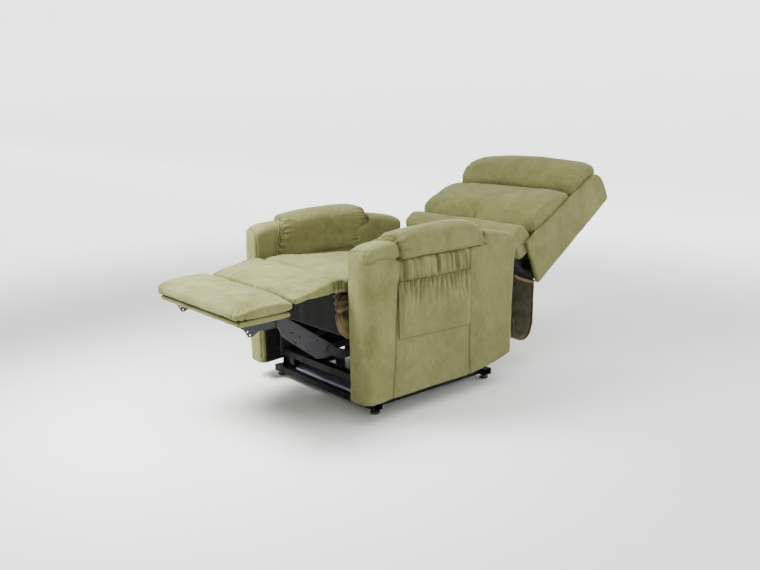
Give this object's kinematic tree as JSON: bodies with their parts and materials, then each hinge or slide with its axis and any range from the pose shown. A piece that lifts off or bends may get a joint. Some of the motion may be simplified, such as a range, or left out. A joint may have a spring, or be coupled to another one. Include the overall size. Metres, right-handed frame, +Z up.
{
  "type": "lift recliner chair",
  "caption": "Upholstered power lift recliner chair: steel lift base, reclining three-cushion back, fold-out footrest, padded arms with side pockets.",
  "frame": {"origin": "on the floor, at the centre of the reclined chair's outline, between the arms", "axes": "+X to the sitter's left, -Y the way the sitter faces, +Z up"},
  "size_m": [0.82, 1.8905, 0.8659],
  "materials": {
    "olive_fabric": "brushed microsuede",
    "lining_fabric": "plain woven lining",
    "black_cloth": "non-woven dust cloth",
    "mechanism_steel": "satin dark grey paint",
    "black_steel": "satin black powder coat",
    "zinc_steel": "zinc plated",
    "black_plastic": "fine texture",
    "frame_wood": "raw plywood",
    "felt": "pressed felt"
  },
  "bodies": {
    "base": {"base_front_tube": "black_steel", "base_rear_tube": "black_steel", "base_side_rails": "black_steel", "base_tie_plate": "black_steel", "base_pivot_brackets": "black_steel", "base_pivot_pins": "zinc_steel", "base_feet": "black_plastic", "foot_pads": "felt", "lift_motor_mount": "black_steel", "lift_actuator_housing": "black_plastic", "lift_actuator_motor": "black_plastic"},
    "lift_link": {"lift_lower_link_left": "mechanism_steel", "lift_lower_link_right": "mechanism_steel", "lift_cross_tube": "black_steel", "lift_lever": "mechanism_steel"},
    "lift_guide": {"lift_upper_links": "mechanism_steel"},
    "lift_rod": {"lift_actuator_rod": "zinc_steel"},
    "recline_rod": {"recline_actuator_rod": "zinc_steel"},
    "footrest_rod": {"footrest_actuator_rod": "zinc_steel"},
    "backrest": {"back_hinge_shaft": "mechanism_steel", "back_hinge_brackets": "mechanism_steel", "back_board": "frame_wood", "back_side_left": "olive_fabric", "back_side_right": "olive_fabric", "back_rear_panel": "olive_fabric", "back_top_rail": "olive_fabric", "back_cushion_lumbar": "olive_fabric", "back_cushion_middle": "olive_fabric", "back_cushion_head": "olive_fabric"},
    "footrest_drive": {"footrest_drive_shaft": "mechanism_steel", "footrest_drive_links": "mechanism_steel"},
    "footrest_plate": {"footrest_plates": "mechanism_steel"},
    "ottoman": {"ottoman_brackets": "mechanism_steel", "ottoman_cross_bar": "mechanism_steel", "ottoman_board": "olive_fabric", "ottoman_pad": "olive_fabric"},
    "carriage": {"carriage_side_left": "mechanism_steel", "carriage_side_right": "mechanism_steel", "carriage_front_tube": "black_steel", "carriage_mid_tube": "black_steel", "carriage_rear_tube": "black_steel", "carriage_pivot_pins": "zinc_steel", "seat_side_rails": "frame_wood", "seat_cross_rails": "frame_wood", "seat_springs": "zinc_steel", "seat_cushion": "olive_fabric", "front_apron": "black_cloth", "control_box": "black_plastic", "arm_left": "olive_fabric", "arm_right": "olive_fabric", "arm_frames": "frame_wood", "arm_pad_left": "olive_fabric", "arm_pad_right": "olive_fabric", "pocket_left": "olive_fabric", "pocket_right": "olive_fabric", "chaise_pad": "olive_fabric", "chaise_gusset": "olive_fabric", "rear_flap": "lining_fabric", "recline_actuator_housing": "black_plastic", "footrest_actuator_housing": "black_plastic"}
  },
  "joints": [
    {"name": "lift", "type": "hinge", "parent": "base", "child": "lift_link", "pos_m": [0, -0.378, 0.078], "axis": [1, 0, 0], "range_deg": [0, 55]},
    {"name": "seat_tilt", "type": "hinge", "parent": "lift_link", "child": "carriage", "pos_m": [0, -0.003, 0.084], "axis": [1, 0, 0], "range_deg": [-31.1, 0]},
    {"name": "lift_guide", "type": "hinge", "parent": "base", "child": "lift_guide", "pos_m": [0, -0.3873, 0.135], "axis": [1, 0, 0], "range_deg": [0, 54.2]},
    {"name": "lift_rod_pivot", "type": "hinge", "parent": "lift_link", "child": "lift_rod", "pos_m": [0, -0.32351, 0.15582], "axis": [1, 0, 0], "range_deg": [-55.1, 0]},
    {"name": "recline", "type": "hinge", "parent": "carriage", "child": "backrest", "pos_m": [0, 0.342, 0.43], "axis": [1, 0, 0], "range_deg": [0, 52]},
    {"name": "recline_rod_pivot", "type": "hinge", "parent": "backrest", "child": "recline_rod", "pos_m": [0.07, 0.31861, 0.3535], "axis": [1, 0, 0], "range_deg": [-52.1, 0]},
    {"name": "footrest", "type": "hinge", "parent": "carriage", "child": "footrest_drive", "pos_m": [0, -0.394, 0.327], "axis": [1, 0, 0], "range_deg": [0, 80.9], "deforming": ["chaise_pad", "chaise_gusset"]},
    {"name": "footrest_knee", "type": "hinge", "parent": "footrest_drive", "child": "footrest_plate", "pos_m": [0, -0.553, 0.265], "axis": [1, 0, 0], "range_deg": [-107.6, 0]},
    {"name": "ottoman_tilt", "type": "hinge", "parent": "footrest_plate", "child": "ottoman", "pos_m": [0, -0.758, 0.405], "axis": [1, 0, 0], "range_deg": [0, 116.7]},
    {"name": "footrest_rod_pivot", "type": "hinge", "parent": "footrest_drive", "child": "footrest_rod", "pos_m": [-0.09, -0.43142, 0.29384], "axis": [1, 0, 0], "range_deg": [-81, 0]}
  ],
  "couplings": [
    {"joint": "seat_tilt", "follows": "lift", "ratio": -0.56364},
    {"joint": "lift_guide", "follows": "lift", "ratio": 0.9828},
    {"joint": "lift_rod_pivot", "follows": "lift", "ratio": -1},
    {"joint": "recline_rod_pivot", "follows": "recline", "ratio": -1},
    {"joint": "footrest_knee", "follows": "footrest", "ratio": -1.3276},
    {"joint": "ottoman_tilt", "follows": "footrest", "ratio": 1.4401},
    {"joint": "footrest_rod_pivot", "follows": "footrest", "ratio": -1}
  ]
}
